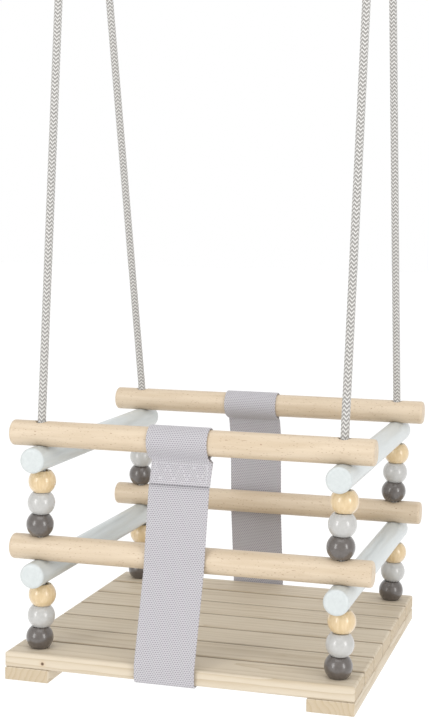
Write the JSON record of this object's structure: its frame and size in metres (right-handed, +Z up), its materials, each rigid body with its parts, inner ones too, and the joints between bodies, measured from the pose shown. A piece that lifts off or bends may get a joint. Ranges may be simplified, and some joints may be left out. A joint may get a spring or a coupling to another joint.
{
  "type": "toddler bucket swing",
  "caption": "Wooden toddler swing: slatted seat caged by round rails and spars on braided ropes with beads, webbing crotch strap and steel hang rings.",
  "frame": {"origin": "above the middle of the cage, level with where a hook bears on the inside top of each steel ring", "axes": "+X to the viewer's right when facing the front, +Y from the front guard to the back, +Z up"},
  "size_m": [0.379, 0.3544, 1.054],
  "materials": {
    "beech": "clear satin lacquer",
    "pine": "fine sanded, matt",
    "white_lacquer": "white satin lacquer",
    "bead_natural": "clear gloss lacquer",
    "bead_light": "light grey gloss lacquer",
    "bead_dark": "dark taupe gloss lacquer",
    "webbing": "woven, pale lavender grey",
    "rope": "braided, pale grey with darker flecks",
    "steel": "polished",
    "zinc_screw": "zinc plated"
  },
  "bodies": {
    "hang_rings": {"ring_left": "steel", "ring_right": "steel"},
    "swing": {"rail_front_lower": "beech", "rail_rear_lower": "beech", "spar_left_upper": "white_lacquer", "spar_right_upper": "white_lacquer", "spar_left_lower": "white_lacquer", "spar_right_lower": "white_lacquer", "seat_slat_1": "pine", "seat_slat_2": "pine", "seat_slat_3": "pine", "seat_slat_4": "pine", "seat_slat_5": "pine", "seat_slat_6": "pine", "seat_slat_7": "pine", "runner_left": "pine", "runner_right": "pine", "slat_screws": "zinc_screw", "strap_front": "webbing", "strap_under": "webbing", "strap_rear": "webbing", "rope_left": "rope", "rope_right": "rope", "knot_front_left": "rope", "knot_front_right": "rope", "knot_rear_left": "rope", "knot_rear_right": "rope"},
    "front_guard": {"rail_front_upper": "beech", "strap_loop_front": "webbing"},
    "rear_guard": {"rail_rear_upper": "beech", "strap_loop_rear": "webbing"},
    "bead_front_left_upper_natural": {"bead_front_left_upper_natural": "bead_natural"},
    "bead_front_left_upper_light": {"bead_front_left_upper_light": "bead_light"},
    "bead_front_left_upper_dark": {"bead_front_left_upper_dark": "bead_dark"},
    "bead_front_left_lower_natural": {"bead_front_left_lower_natural": "bead_natural"},
    "bead_front_left_lower_light": {"bead_front_left_lower_light": "bead_light"},
    "bead_front_left_lower_dark": {"bead_front_left_lower_dark": "bead_dark"},
    "bead_front_right_upper_natural": {"bead_front_right_upper_natural": "bead_natural"},
    "bead_front_right_upper_light": {"bead_front_right_upper_light": "bead_light"},
    "bead_front_right_upper_dark": {"bead_front_right_upper_dark": "bead_dark"},
    "bead_front_right_lower_natural": {"bead_front_right_lower_natural": "bead_natural"},
    "bead_front_right_lower_light": {"bead_front_right_lower_light": "bead_light"},
    "bead_front_right_lower_dark": {"bead_front_right_lower_dark": "bead_dark"},
    "bead_rear_left_upper_natural": {"bead_rear_left_upper_natural": "bead_natural"},
    "bead_rear_left_upper_light": {"bead_rear_left_upper_light": "bead_light"},
    "bead_rear_left_upper_dark": {"bead_rear_left_upper_dark": "bead_dark"},
    "bead_rear_left_lower_natural": {"bead_rear_left_lower_natural": "bead_natural"},
    "bead_rear_left_lower_light": {"bead_rear_left_lower_light": "bead_light"},
    "bead_rear_left_lower_dark": {"bead_rear_left_lower_dark": "bead_dark"},
    "bead_rear_right_upper_natural": {"bead_rear_right_upper_natural": "bead_natural"},
    "bead_rear_right_upper_light": {"bead_rear_right_upper_light": "bead_light"},
    "bead_rear_right_upper_dark": {"bead_rear_right_upper_dark": "bead_dark"},
    "bead_rear_right_lower_natural": {"bead_rear_right_lower_natural": "bead_natural"},
    "bead_rear_right_lower_light": {"bead_rear_right_lower_light": "bead_light"},
    "bead_rear_right_lower_dark": {"bead_rear_right_lower_dark": "bead_dark"}
  },
  "joints": [
    {"name": "swing_pivot", "type": "hinge", "parent": "hang_rings", "child": "swing", "pos_m": [0, 0, -0.037], "axis": [1, 0, 0], "range_deg": [-45, 45]},
    {"name": "front_guard_lift", "type": "slide", "parent": "swing", "child": "front_guard", "axis": [0, 0.0879, 0.9961], "range_m": [0, 0.015], "deforming": ["strap_front"]},
    {"name": "rear_guard_lift", "type": "slide", "parent": "swing", "child": "rear_guard", "axis": [0, -0.0879, 0.9961], "range_m": [0, 0.015], "deforming": ["strap_rear"]},
    {"name": "spin_front_left_upper_natural", "type": "hinge", "parent": "swing", "child": "bead_front_left_upper_natural", "pos_m": [-0.15, -0.15, -0.85325], "axis": [0, 0, 1], "continuous": true},
    {"name": "spin_front_left_upper_light", "type": "hinge", "parent": "swing", "child": "bead_front_left_upper_light", "pos_m": [-0.15, -0.15, -0.87475], "axis": [0, 0, 1], "continuous": true},
    {"name": "spin_front_left_upper_dark", "type": "hinge", "parent": "swing", "child": "bead_front_left_upper_dark", "pos_m": [-0.15, -0.15, -0.89625], "axis": [0, 0, 1], "continuous": true},
    {"name": "spin_front_left_lower_natural", "type": "hinge", "parent": "swing", "child": "bead_front_left_lower_natural", "pos_m": [-0.15, -0.15, -0.96625], "axis": [0, 0, 1], "continuous": true},
    {"name": "spin_front_left_lower_light", "type": "hinge", "parent": "swing", "child": "bead_front_left_lower_light", "pos_m": [-0.15, -0.15, -0.98775], "axis": [0, 0, 1], "continuous": true},
    {"name": "spin_front_left_lower_dark", "type": "hinge", "parent": "swing", "child": "bead_front_left_lower_dark", "pos_m": [-0.15, -0.15, -1.00925], "axis": [0, 0, 1], "continuous": true},
    {"name": "spin_front_right_upper_natural", "type": "hinge", "parent": "swing", "child": "bead_front_right_upper_natural", "pos_m": [0.15, -0.15, -0.85325], "axis": [0, 0, 1], "continuous": true},
    {"name": "spin_front_right_upper_light", "type": "hinge", "parent": "swing", "child": "bead_front_right_upper_light", "pos_m": [0.15, -0.15, -0.87475], "axis": [0, 0, 1], "continuous": true},
    {"name": "spin_front_right_upper_dark", "type": "hinge", "parent": "swing", "child": "bead_front_right_upper_dark", "pos_m": [0.15, -0.15, -0.89625], "axis": [0, 0, 1], "continuous": true},
    {"name": "spin_front_right_lower_natural", "type": "hinge", "parent": "swing", "child": "bead_front_right_lower_natural", "pos_m": [0.15, -0.15, -0.96625], "axis": [0, 0, 1], "continuous": true},
    {"name": "spin_front_right_lower_light", "type": "hinge", "parent": "swing", "child": "bead_front_right_lower_light", "pos_m": [0.15, -0.15, -0.98775], "axis": [0, 0, 1], "continuous": true},
    {"name": "spin_front_right_lower_dark", "type": "hinge", "parent": "swing", "child": "bead_front_right_lower_dark", "pos_m": [0.15, -0.15, -1.00925], "axis": [0, 0, 1], "continuous": true},
    {"name": "spin_rear_left_upper_natural", "type": "hinge", "parent": "swing", "child": "bead_rear_left_upper_natural", "pos_m": [-0.15, 0.15, -0.85325], "axis": [0, 0, 1], "continuous": true},
    {"name": "spin_rear_left_upper_light", "type": "hinge", "parent": "swing", "child": "bead_rear_left_upper_light", "pos_m": [-0.15, 0.15, -0.87475], "axis": [0, 0, 1], "continuous": true},
    {"name": "spin_rear_left_upper_dark", "type": "hinge", "parent": "swing", "child": "bead_rear_left_upper_dark", "pos_m": [-0.15, 0.15, -0.89625], "axis": [0, 0, 1], "continuous": true},
    {"name": "spin_rear_left_lower_natural", "type": "hinge", "parent": "swing", "child": "bead_rear_left_lower_natural", "pos_m": [-0.15, 0.15, -0.96625], "axis": [0, 0, 1], "continuous": true},
    {"name": "spin_rear_left_lower_light", "type": "hinge", "parent": "swing", "child": "bead_rear_left_lower_light", "pos_m": [-0.15, 0.15, -0.98775], "axis": [0, 0, 1], "continuous": true},
    {"name": "spin_rear_left_lower_dark", "type": "hinge", "parent": "swing", "child": "bead_rear_left_lower_dark", "pos_m": [-0.15, 0.15, -1.00925], "axis": [0, 0, 1], "continuous": true},
    {"name": "spin_rear_right_upper_natural", "type": "hinge", "parent": "swing", "child": "bead_rear_right_upper_natural", "pos_m": [0.15, 0.15, -0.85325], "axis": [0, 0, 1], "continuous": true},
    {"name": "spin_rear_right_upper_light", "type": "hinge", "parent": "swing", "child": "bead_rear_right_upper_light", "pos_m": [0.15, 0.15, -0.87475], "axis": [0, 0, 1], "continuous": true},
    {"name": "spin_rear_right_upper_dark", "type": "hinge", "parent": "swing", "child": "bead_rear_right_upper_dark", "pos_m": [0.15, 0.15, -0.89625], "axis": [0, 0, 1], "continuous": true},
    {"name": "spin_rear_right_lower_natural", "type": "hinge", "parent": "swing", "child": "bead_rear_right_lower_natural", "pos_m": [0.15, 0.15, -0.96625], "axis": [0, 0, 1], "continuous": true},
    {"name": "spin_rear_right_lower_light", "type": "hinge", "parent": "swing", "child": "bead_rear_right_lower_light", "pos_m": [0.15, 0.15, -0.98775], "axis": [0, 0, 1], "continuous": true},
    {"name": "spin_rear_right_lower_dark", "type": "hinge", "parent": "swing", "child": "bead_rear_right_lower_dark", "pos_m": [0.15, 0.15, -1.00925], "axis": [0, 0, 1], "continuous": true}
  ]
}
